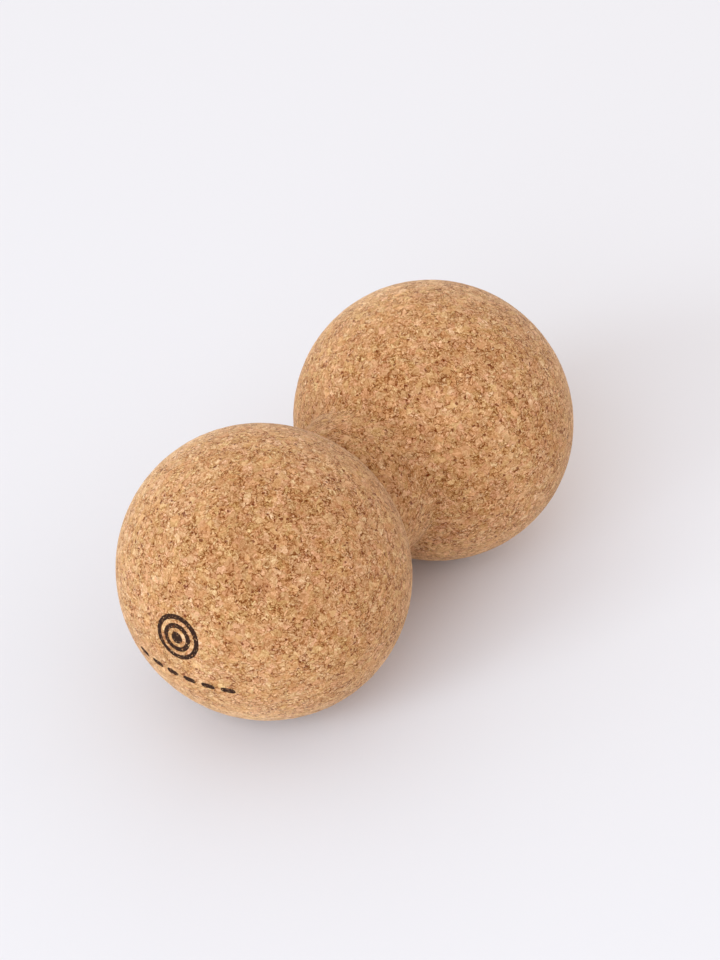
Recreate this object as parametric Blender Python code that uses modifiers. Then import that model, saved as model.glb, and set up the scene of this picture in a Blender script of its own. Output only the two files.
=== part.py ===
"""A cork duo massage ball: two balls and the neck between them, turned in one piece, lying on its side.

Metres, +Z up. The origin is on the floor, halfway between the balls. +X runs along the long axis,
from the marked ball to the plain one. A generic mark is inked into the marked ball's end, in islands
that sit in shallow recesses, level with the cork around them.
"""

import math

import bmesh
import bpy
from mathutils import Vector

# Driving dimensions
BALL_DIAMETER = 0.065
BALL_LENGTH = 0.0623  # along the long axis: each ball is turned slightly flat at its ends
BALL_SPACING = 0.0661  # between the balls' centres
NECK_DIAMETER = 0.0354
NECK_ROUND = 0.0025  # the round where the neck runs into a ball

# The mark, seen on the end of the marked ball
RING_DIAMETER = 0.0108
RING_WIDTH = 0.0011
RING_GAP = 0.0009
RING_HEIGHT = 0.0032  # the rings' centre above the long axis
BAR_COUNT = 6
BAR_PITCH = 0.0044
BAR_LENGTH = 0.0031
BAR_WIDTH = 0.0015
BAR_HEIGHT = -0.0080  # the row of bars, from the long axis
INK_DEPTH = 0.0004
CLEARANCE = 0.0003  # between the ink and the cork, at its sides and underneath

# Fineness of the turned and the stamped shapes
TURNING_STEPS = 48
END_STEPS = 14  # from a ball's end to its widest place
SHOULDER_STEPS = 9  # from the widest place to the neck's round
ROUND_STEPS = 5
CIRCLE_STEPS = 36
MERGE_DISTANCE = 0.00001

CORK_COLOUR = (0.56, 0.29, 0.13, 1.0)
INK_COLOUR = (0.045, 0.030, 0.026, 1.0)

COLLECTION_NAME = "duo_massage_ball"
CUTTER_COLLECTION_NAME = "cutters"


def clear_scene():
    for item in list(bpy.data.objects):
        bpy.data.objects.remove(item)


def new_collection(name):
    collection = bpy.data.collections.new(name)
    bpy.context.scene.collection.children.link(collection)
    return collection


def make_material(name, colour, roughness):
    material = bpy.data.materials.new(name)
    material.use_nodes = True
    shader = material.node_tree.nodes["Principled BSDF"]
    shader.inputs["Base Color"].default_value = colour
    shader.inputs["Roughness"].default_value = roughness
    shader.inputs["Metallic"].default_value = 0.0
    return material


def add_object(name, mesh, collection, parent, rotation):
    item = bpy.data.objects.new(name, mesh)
    item.rotation_euler = rotation
    item.parent = parent
    collection.objects.link(item)
    return item


def as_cutter(item):
    item.hide_render = True
    item.display_type = "WIRE"
    return item


def add_boolean(item, operation, other):
    modifier = item.modifiers.new(f"{operation.lower()} {other.name}", "BOOLEAN")
    modifier.operation = operation
    modifier.solver = "EXACT"
    modifier.object = other


def spread(first, last, steps):
    """Evenly spaced values from first to last, both included."""
    return [first + (last - first) * step / steps for step in range(steps + 1)]


# The turned outline


def outward_slope(angle, radius, half_length):
    """The direction square to a ball at an angle past its widest place, away from and along the axis."""
    return Vector((math.cos(angle) / radius, math.sin(angle) / half_length)).normalized()


def join_angle(radius, half_length, round_radius, neck_radius):
    """The angle past a ball's widest place at which it runs into the neck's round."""
    low = 0.0
    high = math.pi / 2
    for _ in range(50):
        angle = (low + high) / 2
        outward = outward_slope(angle, radius, half_length)
        if radius * math.cos(angle) + round_radius * outward.x > neck_radius + round_radius:
            low = angle
        else:
            high = angle
    return angle


def duo_outline(inset):
    """Half the outline of both balls and their neck, as (radius, height) from the top end down."""
    radius = BALL_DIAMETER / 2 - inset
    half_length = BALL_LENGTH / 2 - inset
    neck_radius = NECK_DIAMETER / 2 - inset
    round_radius = NECK_ROUND + inset
    half_spacing = BALL_SPACING / 2
    join = join_angle(radius, half_length, round_radius, neck_radius)

    end = spread(-math.pi / 2, 0.0, END_STEPS)
    shoulder = spread(0.0, join, SHOULDER_STEPS)
    ball = [
        (radius * math.cos(angle), half_spacing - half_length * math.sin(angle))
        for angle in end[:-1] + shoulder[:-1]
    ]
    ball[0] = (0.0, ball[0][1])

    outward = outward_slope(join, radius, half_length)
    centre_height = half_spacing - half_length * math.sin(join) - round_radius * outward.y
    neck_end = [
        (
            neck_radius + round_radius * (1 - math.cos(angle)),
            centre_height + round_radius * math.sin(angle),
        )
        for angle in spread(math.atan2(outward.y, outward.x), 0.0, ROUND_STEPS)
    ]
    upper_half = ball + neck_end
    lower_half = [(distance, -height) for distance, height in reversed(upper_half)]
    return upper_half + lower_half


def add_turned_solid(name, inset, collection, parent):
    """The duo ball's own shape, smaller all round by the inset, turned about the long axis."""
    outline = duo_outline(inset)
    mesh = bpy.data.meshes.new(name)
    points = [(distance, 0.0, height) for distance, height in outline]
    edges = [(index, index + 1) for index in range(len(points) - 1)]
    mesh.from_pydata(points, edges, [])
    lying_down = (0.0, math.pi / 2, 0.0)
    item = add_object(name, mesh, collection, parent, lying_down)
    screw = item.modifiers.new("turning", "SCREW")
    screw.axis = "Z"
    screw.angle = 2 * math.pi
    screw.steps = TURNING_STEPS
    screw.render_steps = TURNING_STEPS
    screw.use_merge_vertices = True
    screw.merge_threshold = MERGE_DISTANCE
    screw.use_smooth_shade = True
    return item


# The mark's outlines, as points to the right of and above the long axis


def circle(radius):
    angles = spread(0.0, 2 * math.pi, CIRCLE_STEPS)[:-1]
    return [(radius * math.cos(angle), RING_HEIGHT + radius * math.sin(angle)) for angle in angles]


def ring(outer_radius, grow):
    return [circle(outer_radius + grow), circle(outer_radius - RING_WIDTH - grow)]


def outer_ring(grow):
    return ring(RING_DIAMETER / 2, grow)


def inner_ring(grow):
    return ring(RING_DIAMETER / 2 - RING_WIDTH - RING_GAP, grow)


def dot(grow):
    return [circle(RING_DIAMETER / 2 - 2 * (RING_WIDTH + RING_GAP) + grow)]


def round_ended_bar(number, grow):
    middle = (number - (BAR_COUNT + 1) / 2) * BAR_PITCH
    end_radius = BAR_WIDTH / 2 + grow
    end_offset = (BAR_LENGTH - BAR_WIDTH) / 2
    right_end = spread(-math.pi / 2, math.pi / 2, CIRCLE_STEPS // 4)
    left_end = spread(math.pi / 2, 3 * math.pi / 2, CIRCLE_STEPS // 4)
    points = []
    for side, angles in ((end_offset, right_end), (-end_offset, left_end)):
        for angle in angles:
            right = middle + side + end_radius * math.cos(angle)
            points.append((right, BAR_HEIGHT + end_radius * math.sin(angle)))
    return [points]


def add_stamp(name, outlines, collection, parent):
    """A straight stamp through the whole marked ball's end, with these outlines."""
    curve = bpy.data.curves.new(name, "CURVE")
    curve.dimensions = "2D"
    curve.fill_mode = "BOTH"
    curve.extrude = BALL_SPACING
    for points in outlines:
        spline = curve.splines.new("POLY")
        spline.points.add(len(points) - 1)
        for point, (right, up) in zip(spline.points, points):
            point.co = (right, up, 0.0, 1.0)
        spline.use_cyclic_u = True
    outline = bpy.data.objects.new(name, curve)
    collection.objects.link(outline)
    mesh = bpy.data.meshes.new_from_object(outline.evaluated_get(bpy.context.evaluated_depsgraph_get()))
    bpy.data.objects.remove(outline)

    shape = bmesh.new()
    shape.from_mesh(mesh)
    bmesh.ops.remove_doubles(shape, verts=shape.verts, dist=MERGE_DISTANCE)
    bmesh.ops.translate(shape, verts=shape.verts, vec=(0.0, 0.0, BALL_SPACING))
    bmesh.ops.recalc_face_normals(shape, faces=shape.faces)
    shape.to_mesh(mesh)
    shape.free()
    facing_the_marked_end = (math.pi / 2, 0.0, -math.pi / 2)
    return add_object(name, mesh, collection, parent, facing_the_marked_end)


# The pieces


def add_mark_island(name, outline, body, tools, parts, cutters, axis, ink):
    """One island of ink, and the recess that it fills in the cork."""
    recess = as_cutter(add_stamp(f"{name}_recess", outline(CLEARANCE), cutters, axis))
    add_boolean(recess, "DIFFERENCE", tools["recess_floor"])
    add_boolean(body, "DIFFERENCE", recess)

    island = add_stamp(name, outline(0.0), parts, axis)
    add_boolean(island, "INTERSECT", tools["ink_top"])
    add_boolean(island, "DIFFERENCE", tools["ink_bottom"])
    island.data.materials.append(ink)


def mark_outlines():
    """Each island's name, and the function that gives its outlines grown by a margin."""
    outlines = {
        "mark_outer_ring": outer_ring,
        "mark_inner_ring": inner_ring,
        "mark_dot": dot,
    }
    for number in range(1, BAR_COUNT + 1):
        outlines[f"mark_bar_{number}"] = lambda grow, number=number: round_ended_bar(number, grow)
    return outlines


def build():
    clear_scene()
    parts = new_collection(COLLECTION_NAME)
    cutters = new_collection(CUTTER_COLLECTION_NAME)
    axis = bpy.data.objects.new("long_axis", None)
    axis.location = (0.0, 0.0, BALL_DIAMETER / 2)
    parts.objects.link(axis)

    cork = make_material("cork", CORK_COLOUR, 0.85)
    ink = make_material("ink", INK_COLOUR, 0.7)

    body = add_turned_solid("cork_body", 0.0, parts, axis)
    body.data.materials.append(cork)
    insets = {"ink_top": 0.0, "ink_bottom": INK_DEPTH, "recess_floor": INK_DEPTH + CLEARANCE}
    tools = {
        name: as_cutter(add_turned_solid(name, inset, cutters, axis))
        for name, inset in insets.items()
    }
    for name, outline in mark_outlines().items():
        add_mark_island(name, outline, body, tools, parts, cutters, axis, ink)


build()
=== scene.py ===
"""The looks of the cork duo massage ball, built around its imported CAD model.

Metres, in the CAD's own frame: the floor at z = 0 and the long axis along X, from the marked ball
to the plain one. Every size comes from the CAD's boxes or from the named values below.
"""

import math

import bmesh
import bpy
import numpy as np
from mathutils import Matrix, Vector
from mathutils import noise as smooth_noise
from mathutils.bvhtree import BVHTree


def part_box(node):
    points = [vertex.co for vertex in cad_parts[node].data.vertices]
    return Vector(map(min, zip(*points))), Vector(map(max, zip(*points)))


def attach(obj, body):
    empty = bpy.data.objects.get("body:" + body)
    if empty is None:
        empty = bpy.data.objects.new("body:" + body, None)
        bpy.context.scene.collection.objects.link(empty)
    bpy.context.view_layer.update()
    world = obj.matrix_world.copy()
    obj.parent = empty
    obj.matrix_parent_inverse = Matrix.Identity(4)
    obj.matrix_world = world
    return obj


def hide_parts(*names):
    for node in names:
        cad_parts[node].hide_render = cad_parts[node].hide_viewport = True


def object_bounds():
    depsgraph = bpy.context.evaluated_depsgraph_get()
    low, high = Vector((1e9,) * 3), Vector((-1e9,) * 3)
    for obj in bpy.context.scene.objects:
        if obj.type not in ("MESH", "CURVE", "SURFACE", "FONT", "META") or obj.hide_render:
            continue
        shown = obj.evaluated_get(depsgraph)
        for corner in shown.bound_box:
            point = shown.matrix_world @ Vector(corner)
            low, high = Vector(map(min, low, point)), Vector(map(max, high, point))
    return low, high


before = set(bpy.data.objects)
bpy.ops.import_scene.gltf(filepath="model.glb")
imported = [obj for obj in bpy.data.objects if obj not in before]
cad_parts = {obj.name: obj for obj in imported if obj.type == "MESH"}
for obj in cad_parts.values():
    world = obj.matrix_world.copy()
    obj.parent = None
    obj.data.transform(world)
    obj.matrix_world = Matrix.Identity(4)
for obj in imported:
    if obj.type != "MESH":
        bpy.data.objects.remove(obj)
cad_low, cad_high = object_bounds()

MM = 0.001

# The camera, as angles and as distances in ball radii
CAMERA_AZIMUTH = -55.4
CAMERA_ELEVATION = 38.0
CAMERA_DISTANCE = 22.31
CAMERA_OFFSET_RIGHT = 0.0614
CAMERA_OFFSET_UP = 0.0949
CAMERA_LENS = 122.1
CAMERA_SENSOR = 36.0

# The floor, the sky's light, and each soft box's azimuth, elevation, width, height, power and colour
FLOOR_RADIUS = 6.0
FLOOR_SIDES = 96
FLOOR_COLOUR = (0.80, 0.795, 0.82, 1.0)
SKY_COLOUR = (1.0, 0.93, 0.905, 1.0)
SKY_STRENGTH = 0.80
SOFT_BOX_DISTANCE = 3.0
SOFT_BOXES = {
    "window": (246.0, 32.0, 1.8, 2.4, 50.0, (0.735, 0.87, 1.0)),
    "low_window": (222.0, 22.0, 0.8, 1.2, 29.0, (0.76, 0.92, 1.0)),
    "far_side": (70.0, 4.0, 2.2, 0.36, 40.0, (0.9, 1.0, 0.97)),
    "right_side": (20.0, 18.0, 2.2, 2.2, 8.0, (1.0, 0.85, 0.75)),
}

# The turned shape, beyond what the CAD's box gives
BALL_LENGTH_RATIO = 0.9585  # a ball's size along the long axis over its diameter
NECK_ROUND = 2.5 * MM  # the radius of the round where the neck runs into a ball
NECK_REACH = 6.5 * MM  # either side of the middle, where the CAD's neck is measured

# The ink, beyond what the CAD's boxes give
LINE_WIDTH = 1.1 * MM
INK_RISE = 0.02 * MM  # how far the ink stands out of the cork
INK_SINK = 0.15 * MM  # and how far it reaches in
EDGE_WOBBLE = 0.07 * MM
WOBBLE_SIZE = 0.5 * MM
WOBBLE_SEED = 1
MISSED_SPOT = 0.35 * MM  # where the ink left the cork bare
MERGE_DISTANCE = 0.0001 * MM
RAY_START = 10 * MM  # in front of the marked end, from where the cork's surface is looked for

# Fineness of the cork's surface and of the ink
END_RINGS = 48
NECK_ROWS = 208
OUTLINE_SAMPLES = 4000
ROUND_SAMPLES = 200
HALVINGS = 50  # of the range of angles where a ball may meet the neck's round
RING_POINTS = 160
BAR_POINTS = 16  # along each end and each side
INK_STEPS = 5

# The sizes in the cork's grain
BROAD_SHADE = 16.0 * MM  # slow changes of shade
RELIEF_WAVE = 3.0 * MM
PATCH = 2.2 * MM  # stretches with more of the fine grain, and stretches with less
GRANULE = 2.0 * MM
RAGGED_EDGE = 1.1 * MM  # the size of the bends in a granule's outline
RAGGED_SHIFT = 1.6 * MM  # and how far they can reach, from one side to the other
FLAKE = 1.2 * MM  # the flat faces that a granule shows
SPECK = 1.1 * MM  # from one speck of bark to the next
GRAIN = 0.5 * MM
CHIP = 0.46 * MM
CRUMB = 0.26 * MM
CHIP_SQUEEZE = 0.55  # a chip's width over its length
RELIEF = 0.05 * MM  # of the granules, as geometry
BUMP = 0.12 * MM  # of the finer grain, in the materials

# Shifts in metres, so that one pattern's cells don't line up with another's
DUST_SHIFT = (0.2, 0.3, 0.1)
BARK_SHIFT = (0.1, 0.2, 0.3)
MISSED_SHIFT = (0.3, 0.1, 0.2)

# Colours as they look on a screen, 0 to 255. The cork's are from its darkest grain to its palest.
CORK_SHADES = [
    (0.05, (128, 66, 22)),
    (0.28, (172, 112, 62)),
    (0.50, (203, 149, 99)),
    (0.72, (227, 178, 129)),
    (0.95, (248, 209, 165)),
]
BARK_COLOUR = (112, 40, 2)
SHEEN_COLOUR = (255, 226, 195)
DARK_INK = (40, 24, 18)
PALE_INK = (66, 42, 30)

# What the cork's colour is multiplied by, from one granule or flake to another
GREY_GRANULE = (0.89, 0.915, 0.99, 1.0)
GOLDEN_GRANULE = (0.89, 0.915, 0.83, 1.0)
GREEN_FLAKE = (0.985, 1.04, 1.0, 1.0)
ROSY_FLAKE = (1.045, 0.955, 0.98, 1.0)


def screen_colour(red, green, blue):
    """A colour given as it looks on a screen, 0 to 255, in the linear values that shaders take."""
    shares = [value / 255 for value in (red, green, blue)]
    linear = [
        share / 12.92 if share <= 0.04045 else ((share + 0.055) / 1.055) ** 2.4
        for share in shares
    ]
    return (*linear, 1.0)


# Camera, floor and light


def view_axes():
    """The camera's right, up and backward directions."""
    azimuth = math.radians(CAMERA_AZIMUTH)
    elevation = math.radians(CAMERA_ELEVATION)
    right = Vector((math.cos(azimuth), math.sin(azimuth), 0.0))
    back = Vector(
        (
            math.sin(azimuth) * math.cos(elevation),
            -math.cos(azimuth) * math.cos(elevation),
            math.sin(elevation),
        )
    )
    return right, back.cross(right), back


def add_camera(middle, ball_radius):
    right, up, back = view_axes()
    data = bpy.data.cameras.new("camera")
    data.lens = CAMERA_LENS
    data.sensor_width = CAMERA_SENSOR
    data.clip_end = 100.0
    camera = bpy.data.objects.new("camera", data)
    bpy.context.scene.collection.objects.link(camera)
    offset = back * CAMERA_DISTANCE + right * CAMERA_OFFSET_RIGHT + up * CAMERA_OFFSET_UP
    turn = Matrix((right, up, back)).transposed().to_4x4()
    camera.matrix_world = Matrix.Translation(middle + offset * ball_radius) @ turn
    bpy.context.scene.camera = camera


def add_soft_box(name, middle, azimuth, elevation, width, height, power, colour):
    """A flat light that faces the middle. Its azimuth is from the camera's right round to the far side."""
    right, _, back = view_axes()
    away = Vector((-back.x, -back.y, 0.0)).normalized()
    turn = math.radians(azimuth)
    rise = math.radians(elevation)
    level = right * math.cos(turn) + away * math.sin(turn)
    direction = level * math.cos(rise) + Vector((0.0, 0.0, math.sin(rise)))
    data = bpy.data.lights.new(name, "AREA")
    data.shape = "RECTANGLE"
    data.size = width
    data.size_y = height
    data.energy = power
    data.color = colour
    light = bpy.data.objects.new(name, data)
    light.location = middle + direction * SOFT_BOX_DISTANCE
    light.rotation_euler = direction.to_track_quat("Z", "Y").to_euler()
    bpy.context.scene.collection.objects.link(light)


def add_sky():
    world = bpy.data.worlds.new("studio")
    world.use_nodes = True
    background = world.node_tree.nodes["Background"]
    background.inputs["Color"].default_value = SKY_COLOUR
    background.inputs["Strength"].default_value = SKY_STRENGTH
    bpy.context.scene.world = world


def add_floor(material):
    mesh = bpy.data.meshes.new("floor")
    shape = bmesh.new()
    bmesh.ops.create_circle(shape, cap_ends=True, segments=FLOOR_SIDES, radius=FLOOR_RADIUS)
    shape.to_mesh(mesh)
    shape.free()
    mesh.materials.append(material)
    floor = bpy.data.objects.new("floor", mesh)
    bpy.context.scene.collection.objects.link(floor)


# Node helpers, for material trees and geometry trees alike


def add_node(tree, kind, inputs=None, **settings):
    """A new node, with its settings made and its inputs linked or given their values."""
    node = tree.nodes.new(kind)
    for name, value in settings.items():
        setattr(node, name, value)
    for name, value in (inputs or {}).items():
        if isinstance(value, bpy.types.NodeSocket):
            tree.links.new(value, node.inputs[name])
        else:
            node.inputs[name].default_value = value
    return node


def calculate(tree, operation, first, second=0.0):
    node = add_node(tree, "ShaderNodeMath", {0: first, 1: second}, operation=operation)
    return node.outputs[0]


def add_up(tree, terms):
    """The sum of values, each with a weight and with its own middle taken off."""
    total = 0.0
    for value, weight, middle in terms:
        centred = calculate(tree, "SUBTRACT", value, middle)
        weighted = calculate(tree, "MULTIPLY", centred, weight)
        total = calculate(tree, "ADD", weighted, total)
    return total


def move_places(tree, place, operation, amount):
    node = add_node(tree, "ShaderNodeVectorMath", {0: place}, operation=operation)
    if isinstance(amount, bpy.types.NodeSocket):
        tree.links.new(amount, node.inputs[1])
    elif operation == "SCALE":
        node.inputs["Scale"].default_value = amount
    else:
        node.inputs[1].default_value = amount
    return node.outputs[0]


def noise(tree, place, size, detail=2.0, roughness=0.5):
    inputs = {"Vector": place, "Scale": 1 / size, "Detail": detail, "Roughness": roughness}
    return add_node(tree, "ShaderNodeTexNoise", inputs, noise_dimensions="3D")


def cells(tree, place, size, feature="F1"):
    inputs = {"Vector": place, "Scale": 1 / size, "Randomness": 1.0}
    return add_node(
        tree, "ShaderNodeTexVoronoi", inputs, voronoi_dimensions="3D", feature=feature
    )


def random_numbers(tree, place, size):
    """Three random numbers for each cell, the same all over it."""
    colour = cells(tree, place, size).outputs["Color"]
    return colour, add_node(tree, "ShaderNodeSeparateXYZ", {0: colour}).outputs


def ramp_between(tree, value, zero, one):
    """0 where the value is at zero or past it, 1 where it is at one or past it, and even in between."""
    inputs = {"Value": value, "From Min": zero, "From Max": one}
    return add_node(tree, "ShaderNodeMapRange", inputs, clamp=True).outputs[0]


def mix_colours(tree, share, first, second, blend="MIX"):
    node = add_node(tree, "ShaderNodeMix", data_type="RGBA", blend_type=blend)
    for index, value in ((0, share), (6, first), (7, second)):
        if isinstance(value, bpy.types.NodeSocket):
            tree.links.new(value, node.inputs[index])
        else:
            node.inputs[index].default_value = value
    return node.outputs[2]


def colour_ramp(tree, value, stops):
    node = add_node(tree, "ShaderNodeValToRGB", {"Fac": value})
    ramp = node.color_ramp
    while len(ramp.elements) < len(stops):
        ramp.elements.new(0.5)
    for element, (position, colour) in zip(ramp.elements, stops):
        element.position = position
        element.color = colour
    return node.outputs["Color"]


# The cork's grain, as nodes


def ragged_places(tree, place):
    """Places shifted a little to and fro, so that the edges of cells are ragged."""
    shift = noise(tree, place, RAGGED_EDGE).outputs["Color"]
    shift = move_places(tree, shift, "SUBTRACT", (0.5, 0.5, 0.5))
    shift = move_places(tree, shift, "SCALE", RAGGED_SHIFT)
    return move_places(tree, place, "ADD", shift)


def relief_height(tree, place):
    """How far the sanded surface stands out or lies back, from granules of uneven hardness."""
    _, granule = random_numbers(tree, ragged_places(tree, place), GRANULE)
    waves = noise(tree, place, RELIEF_WAVE).outputs[0]
    return add_up(tree, [(granule[0], RELIEF, 0.5), (waves, 2 * RELIEF, 0.5)])


def chip_places(tree, place, granule_colour, granule):
    """Places turned another way in each granule and squeezed, so that its chips lie side by side."""
    turn = calculate(tree, "MULTIPLY", granule[2], 2 * math.pi)
    axis = move_places(tree, granule_colour, "SUBTRACT", (0.5, 0.5, 0.5))
    turned = add_node(
        tree,
        "ShaderNodeVectorRotate",
        {"Vector": place, "Axis": axis, "Angle": turn},
        rotation_type="AXIS_ANGLE",
    ).outputs[0]
    return move_places(tree, turned, "MULTIPLY", (1.0, CHIP_SQUEEZE, 1.0))


def flake_outlines(tree, squeezed, patchy):
    """1 on the outlines of flakes, in the patches where they show, and 0 elsewhere."""
    distance = cells(tree, squeezed, FLAKE, "DISTANCE_TO_EDGE").outputs["Distance"]
    outline = ramp_between(tree, distance, 0.08, 0.01)
    return calculate(tree, "MULTIPLY", outline, ramp_between(tree, patchy, 0.36, 0.58))


def fine_grain(tree, place, squeezed, grain, strength):
    """Chips and crumbs that lie along the granule, and loose dust over them."""
    _, chip = random_numbers(tree, squeezed, CHIP)
    _, crumb = random_numbers(tree, squeezed, CRUMB)
    dust_place = move_places(tree, place, "ADD", DUST_SHIFT)
    _, dust = random_numbers(tree, dust_place, CRUMB)
    fine = add_up(
        tree, [(chip[0], 0.95, 0.5), (crumb[0], 0.75, 0.5), (dust[0], 0.75, 0.5), (grain, 1.0, 0.5)]
    )
    return calculate(tree, "MULTIPLY", fine, strength)


def tint(tree, colour, granule, flake):
    """The colour, with some granules more golden and some flakes rosier than others."""
    golden = mix_colours(tree, granule[2], GREY_GRANULE, GOLDEN_GRANULE)
    rosy = mix_colours(tree, flake[2], GREEN_FLAKE, ROSY_FLAKE)
    colour = mix_colours(tree, 1.0, colour, golden, "MULTIPLY")
    return mix_colours(tree, 1.0, colour, rosy, "MULTIPLY")


def bark_share(tree, ragged, patchy):
    """How much of a speck of dark bark shows, from 0 to 1."""
    place = move_places(tree, ragged, "ADD", BARK_SHIFT)
    _, speck = random_numbers(tree, place, SPECK)
    distance = cells(tree, place, SPECK).outputs["Distance"]
    core = ramp_between(tree, distance, 0.36, 0.22)
    chance = add_up(tree, [(speck[0], 1.0, 0.0), (patchy, 0.5, 0.5)])
    share = calculate(tree, "MULTIPLY", core, ramp_between(tree, chance, 0.80, 0.90))
    return calculate(tree, "MULTIPLY", share, 0.85)


def cork_colour(tree, place):
    """The cork's colour, and how high its fine grain stands."""
    ragged = ragged_places(tree, place)
    granule_colour, granule = random_numbers(tree, ragged, GRANULE)
    squeezed = chip_places(tree, ragged, granule_colour, granule)
    _, flake = random_numbers(tree, squeezed, FLAKE)
    pale = ramp_between(tree, flake[0], 0.84, 0.92)
    patchy = noise(tree, place, PATCH, 1.0).outputs[0]
    outline = flake_outlines(tree, squeezed, patchy)
    broad = noise(tree, place, BROAD_SHADE, 1.0).outputs[0]
    grain = noise(tree, place, GRAIN).outputs[0]
    strength = add_up(
        tree,
        [(granule[1], 0.20, 0.5), (flake[1], 0.20, 0.5), (patchy, 0.3, 0.5), (pale, -0.15, 0.0)],
    )
    strength = calculate(tree, "ADD", strength, 0.36)
    fine = fine_grain(tree, place, squeezed, grain, strength)
    shade = add_up(
        tree,
        [
            (granule[0], 0.12, 0.5),
            (flake[0], 0.06, 0.5),
            (pale, 0.13, 0.12),
            (fine, 0.98, 0.0),
            (outline, -0.40, 0.05),
            (broad, 0.2, 0.5),
        ],
    )
    shade = calculate(tree, "ADD", shade, 0.545)
    stops = [(position, screen_colour(*colour)) for position, colour in CORK_SHADES]
    colour = tint(tree, colour_ramp(tree, shade, stops), granule, flake)
    bark = bark_share(tree, ragged, patchy)
    colour = mix_colours(tree, bark, colour, screen_colour(*BARK_COLOUR))
    height = add_up(
        tree, [(fine, 0.8, 0.0), (grain, 0.6, 0.5), (outline, -0.4, 0.0), (bark, -0.6, 0.0)]
    )
    return colour, height


# Materials


def new_material(name, roughness):
    material = bpy.data.materials.new(name)
    material.use_nodes = True
    shader = material.node_tree.nodes["Principled BSDF"]
    shader.inputs["Roughness"].default_value = roughness
    return material, material.node_tree, shader


def object_places(tree):
    return add_node(tree, "ShaderNodeTexCoord").outputs["Object"]


def add_bump(tree, shader, height):
    inputs = {"Height": height, "Distance": BUMP, "Strength": 1.0}
    bump = add_node(tree, "ShaderNodeBump", inputs)
    tree.links.new(bump.outputs["Normal"], shader.inputs["Normal"])


def floor_material():
    material, _, shader = new_material("pale_floor", 0.9)
    shader.inputs["Base Color"].default_value = FLOOR_COLOUR
    return material


def cork_material():
    material, tree, shader = new_material("cork", 0.85)
    colour, height = cork_colour(tree, object_places(tree))
    tree.links.new(colour, shader.inputs["Base Color"])
    shader.inputs["Diffuse Roughness"].default_value = 1.0
    shader.inputs["Specular IOR Level"].default_value = 0.1
    shader.inputs["Sheen Weight"].default_value = 0.5
    shader.inputs["Sheen Roughness"].default_value = 0.3
    shader.inputs["Sheen Tint"].default_value = screen_colour(*SHEEN_COLOUR)
    add_bump(tree, shader, height)
    return material


def ink_material():
    """Ink in the cork: the pale grain shows through where it missed."""
    material, tree, shader = new_material("ink", 0.85)
    shader.inputs["Specular IOR Level"].default_value = 0.1
    place = object_places(tree)
    cork, height = cork_colour(tree, place)
    thinness = noise(tree, place, GRAIN).outputs[0]
    ink = mix_colours(tree, thinness, screen_colour(*DARK_INK), screen_colour(*PALE_INK))
    missed_place = move_places(tree, place, "ADD", MISSED_SHIFT)
    missed = noise(tree, missed_place, MISSED_SPOT, 1.0).outputs[0]
    missed = ramp_between(tree, missed, 0.63, 0.72)
    colour = mix_colours(tree, missed, ink, cork)
    tree.links.new(colour, shader.inputs["Base Color"])
    add_bump(tree, shader, height)
    return material


# The cork's shape


class DuoShape:
    """The turned outline of both balls and their neck, rebuilt from the CAD's sizes."""

    def __init__(self, low, high, neck_radius):
        self.middle = (low + high) / 2
        self.radius = (high.z - low.z) / 2
        self.half_length = self.radius * BALL_LENGTH_RATIO
        self.half_spacing = (high.x - low.x) / 2 - self.half_length
        self.neck_radius = neck_radius
        self.find_join()
        self.measure_outline()

    def outward(self, angle):
        """The direction square to a ball, past its widest place: away from the axis, and along it."""
        slope = (math.cos(angle) / self.radius, math.sin(angle) / self.half_length)
        return Vector(slope).normalized()

    def find_join(self):
        """The angle past the widest place where a ball runs into the neck's round."""
        low = 0.0
        high = math.pi / 2
        for _ in range(HALVINGS):
            angle = (low + high) / 2
            reach = self.radius * math.cos(angle) + NECK_ROUND * self.outward(angle).x
            if reach > self.neck_radius + NECK_ROUND:
                low = angle
            else:
                high = angle
        self.join_angle = angle

    def measure_outline(self):
        """Points close together all along the outline, with how far along it each one is."""
        turn = np.linspace(math.pi / 2, -self.join_angle, OUTLINE_SAMPLES)
        ball_x = self.half_spacing + self.half_length * np.sin(turn)
        ball_r = self.radius * np.cos(turn)
        outward = self.outward(self.join_angle)
        round_x = ball_x[-1] - NECK_ROUND * outward.y
        sweep = np.linspace(math.atan2(outward.y, outward.x), 0.0, ROUND_SAMPLES)[1:]
        neck_x = np.append(round_x + NECK_ROUND * np.sin(sweep), 0.0)
        neck_r = np.append(self.neck_radius + NECK_ROUND * (1 - np.cos(sweep)), self.neck_radius)
        half_x = np.concatenate([ball_x, neck_x])
        half_r = np.concatenate([ball_r, neck_r])
        self.outline_x = np.concatenate([-half_x, half_x[-2::-1]])
        self.outline_r = np.concatenate([half_r, half_r[-2::-1]])
        steps = np.hypot(np.diff(self.outline_x), np.diff(self.outline_r))
        self.outline_s = np.concatenate([[0.0], np.cumsum(steps)])
        self.outline_length = self.outline_s[-1]

    def point(self, along, turn):
        """The place a distance along the outline from the marked end, and an angle round the axis."""
        along, turn = np.broadcast_arrays(along, turn)
        x = np.interp(along, self.outline_s, self.outline_x)
        r = np.interp(along, self.outline_s, self.outline_r)
        return np.stack(
            [
                self.middle.x + x,
                self.middle.y + r * np.cos(turn),
                self.middle.z + r * np.sin(turn),
            ],
            axis=-1,
        )


def ring_of(i, j):
    """The square ring round the middle of a grid that a place is on, and its angle round it."""
    ring = np.maximum(np.abs(i), np.abs(j))
    step = np.select(
        [(i == ring) & (j < ring), (j == ring) & (i > -ring), (i == -ring) & (j > -ring)],
        [j + ring, 3 * ring - i, 5 * ring - j],
        7 * ring + i,
    )
    return ring, 2 * math.pi * step / np.maximum(8 * ring, 1)


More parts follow.
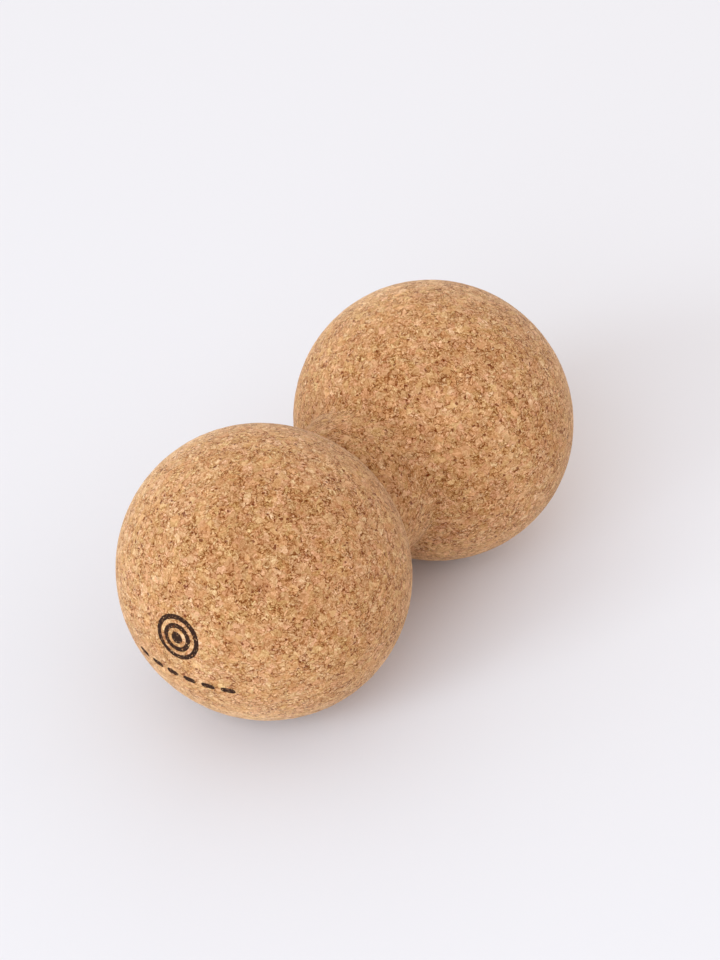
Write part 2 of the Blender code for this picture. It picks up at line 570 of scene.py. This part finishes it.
def end_grid():
    """The square grid of a round end: the ring round its middle that each place is on, and its angle."""
    steps = np.arange(2 * END_RINGS + 1) - END_RINGS
    i, j = np.meshgrid(steps, steps, indexing="ij")
    return ring_of(i, j)


def surface_points(shape, ring, turn):
    """The places on the marked end's grid, then on the far end's, then on the rows in between."""
    end_length = shape.outline_length * END_RINGS / (2 * END_RINGS + NECK_ROWS)
    from_pole = ring * end_length / END_RINGS
    around = 8 * END_RINGS
    row_turn = np.arange(around) * 2 * math.pi / around
    row_along = np.linspace(end_length, shape.outline_length - end_length, NECK_ROWS + 1)[1:-1]
    stretches = [
        shape.point(from_pole, turn),
        shape.point(shape.outline_length - from_pole, turn),
        shape.point(row_along[:, None], row_turn[None, :]),
    ]
    return np.concatenate([stretch.reshape(-1, 3) for stretch in stretches])


def surface_faces(ring, turn):
    """The faces of both grids, and of the belt of rows that joins their rims."""
    number = np.arange(ring.size).reshape(ring.shape)
    corners = [number[:-1, :-1], number[1:, :-1], number[1:, 1:], number[:-1, 1:]]
    grid = np.stack(corners, axis=-1).reshape(-1, 4)
    on_rim = ring == END_RINGS
    rim = number[on_rim][np.argsort(turn[on_rim])]
    inner = 2 * ring.size + np.arange((NECK_ROWS - 1) * len(rim)).reshape(NECK_ROWS - 1, len(rim))
    belt = np.concatenate([rim[None, :], inner, rim[None, :] + ring.size])
    after = np.roll(belt, -1, axis=1)
    sides = np.stack([belt[:-1], after[:-1], after[1:], belt[1:]], axis=-1).reshape(-1, 4)
    return np.concatenate([grid[:, ::-1], grid + ring.size, sides])


def even_surface(shape):
    """The whole surface in near-square faces: a square grid on each round end, rows in between."""
    ring, turn = end_grid()
    mesh = bpy.data.meshes.new("cork_surface")
    points = surface_points(shape, ring, turn).tolist()
    mesh.from_pydata(points, [], surface_faces(ring, turn).tolist())
    return mesh


def add_relief(item):
    """Raises and lowers the surface by the height of its granules, and keeps the result."""
    tree = bpy.data.node_groups.new("granule_relief", "GeometryNodeTree")
    tree.interface.new_socket("Geometry", in_out="INPUT", socket_type="NodeSocketGeometry")
    tree.interface.new_socket("Geometry", in_out="OUTPUT", socket_type="NodeSocketGeometry")
    source = tree.nodes.new("NodeGroupInput")
    result = tree.nodes.new("NodeGroupOutput")
    height = relief_height(tree, add_node(tree, "GeometryNodeInputPosition").outputs[0])
    normal = add_node(tree, "GeometryNodeInputNormal").outputs[0]
    offset = add_node(
        tree, "ShaderNodeVectorMath", {0: normal, "Scale": height}, operation="SCALE"
    ).outputs[0]
    moved = add_node(
        tree, "GeometryNodeSetPosition", {"Geometry": source.outputs[0], "Offset": offset}
    )
    tree.links.new(moved.outputs[0], result.inputs[0])
    modifier = item.modifiers.new("relief", "NODES")
    modifier.node_group = tree
    raised = item.evaluated_get(bpy.context.evaluated_depsgraph_get())
    mesh = bpy.data.meshes.new_from_object(raised)
    item.modifiers.clear()
    item.data = mesh


def add_piece(name, mesh, material, node):
    mesh.materials.append(material)
    mesh.shade_smooth()
    piece = bpy.data.objects.new(name, mesh)
    bpy.context.scene.collection.objects.link(piece)
    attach(piece, "root")
    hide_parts(node)
    return piece


def measured_neck_radius(low, high):
    """The CAD neck's radius halfway between the balls."""
    middle = (low + high) / 2
    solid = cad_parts["cork_body"]
    places = [solid.matrix_world @ vertex.co for vertex in solid.data.vertices]
    near_middle = [place for place in places if abs(place.x - middle.x) < NECK_REACH]
    return max(math.hypot(place.y - middle.y, place.z - middle.z) for place in near_middle)


# The ink, as points to the right of the middle and up from the floor, seen from the marked end


def ring_levels(middle, outer_radius):
    """Circles from a ring's inner edge to its outer one."""
    turns = np.linspace(0.0, 2 * math.pi, RING_POINTS, endpoint=False)
    return [
        [middle + Vector((math.cos(turn), math.sin(turn))) * radius for turn in turns]
        for radius in np.linspace(outer_radius - LINE_WIDTH, outer_radius, INK_STEPS + 1).tolist()
    ]


def round_ended_outline(middle, end_offset, end_radius):
    points = []
    for side in (1, -1):
        for step in range(BAR_POINTS):
            turn = math.pi * (step / BAR_POINTS - 0.5)
            reach = end_offset + end_radius * math.cos(turn)
            points.append(middle + Vector((reach, end_radius * math.sin(turn))) * side)
        for step in range(BAR_POINTS):
            reach = end_offset * (1 - 2 * step / BAR_POINTS)
            points.append(middle + Vector((reach, end_radius)) * side)
    return points


def bar_levels(middle, half_width, half_height):
    """Outlines from a bar's middle line out to its edge. A dot is a bar as wide as it is high."""
    return [
        round_ended_outline(middle, half_width - half_height, half_height * step / INK_STEPS)
        for step in range(INK_STEPS + 1)
    ]


def add_ink_sheet(shape, levels, surface, rise):
    """One face of the ink, hugging the cork's own surface. Returns its corners, level by level."""
    sheet = []
    for level in levels:
        corners = []
        for point in level:
            shift = smooth_noise.noise_vector(point.to_3d() / WOBBLE_SIZE) * EDGE_WOBBLE
            start = Vector((cad_low.x - RAY_START, -point.x - shift.x, point.y + shift.y))
            place, normal, _, _ = surface.ray_cast(start, Vector((1.0, 0.0, 0.0)))
            corners.append(shape.verts.new(place + normal * rise))
        sheet.append(corners)
    for inner, outer in zip(sheet, sheet[1:]):
        add_band(shape, inner, outer)
    return sheet


def add_band(shape, first, second):
    """Faces between two closed rows of corners."""
    for index in range(len(first)):
        after = (index + 1) % len(first)
        shape.faces.new((first[index], first[after], second[after], second[index]))


def add_ink_piece(name, node, levels, surface, material, is_ring):
    shape = bmesh.new()
    top = add_ink_sheet(shape, levels, surface, INK_RISE)
    bottom = add_ink_sheet(shape, levels, surface, -INK_SINK)
    add_band(shape, top[-1], bottom[-1])
    if is_ring:
        add_band(shape, top[0], bottom[0])
    bmesh.ops.remove_doubles(shape, verts=shape.verts, dist=MERGE_DISTANCE)
    bmesh.ops.recalc_face_normals(shape, faces=shape.faces)
    mesh = bpy.data.meshes.new(name)
    shape.to_mesh(mesh)
    shape.free()
    add_piece(name, mesh, material, node)


def add_ink(surface, material):
    """Each island of the mark, from the CAD's own islands."""
    smooth_noise.seed_set(WOBBLE_SEED)  # without it, Blender takes a seed from the clock
    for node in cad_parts:
        if not node.startswith("mark_"):
            continue
        low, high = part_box(node)
        middle = Vector((-(low.y + high.y) / 2, (low.z + high.z) / 2))
        half_width = (high.y - low.y) / 2
        half_height = (high.z - low.z) / 2
        is_ring = "ring" in node
        if is_ring:
            levels = ring_levels(middle, half_width)
        else:
            levels = bar_levels(middle, half_width, half_height)
        add_ink_piece(f"{node}_ink", node, levels, surface, material, is_ring)


body_low, body_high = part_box("cork_body")
duo = DuoShape(body_low, body_high, measured_neck_radius(body_low, body_high))
add_camera(duo.middle, duo.radius)
add_floor(floor_material())
add_sky()
for name, settings in SOFT_BOXES.items():
    add_soft_box(name, duo.middle, *settings)
cork = add_piece("cork_surface", even_surface(duo), cork_material(), "cork_body")
add_relief(cork)
add_ink(BVHTree.FromObject(cork, bpy.context.evaluated_depsgraph_get()), ink_material())
bpy.context.scene.view_settings.view_transform = "Standard"
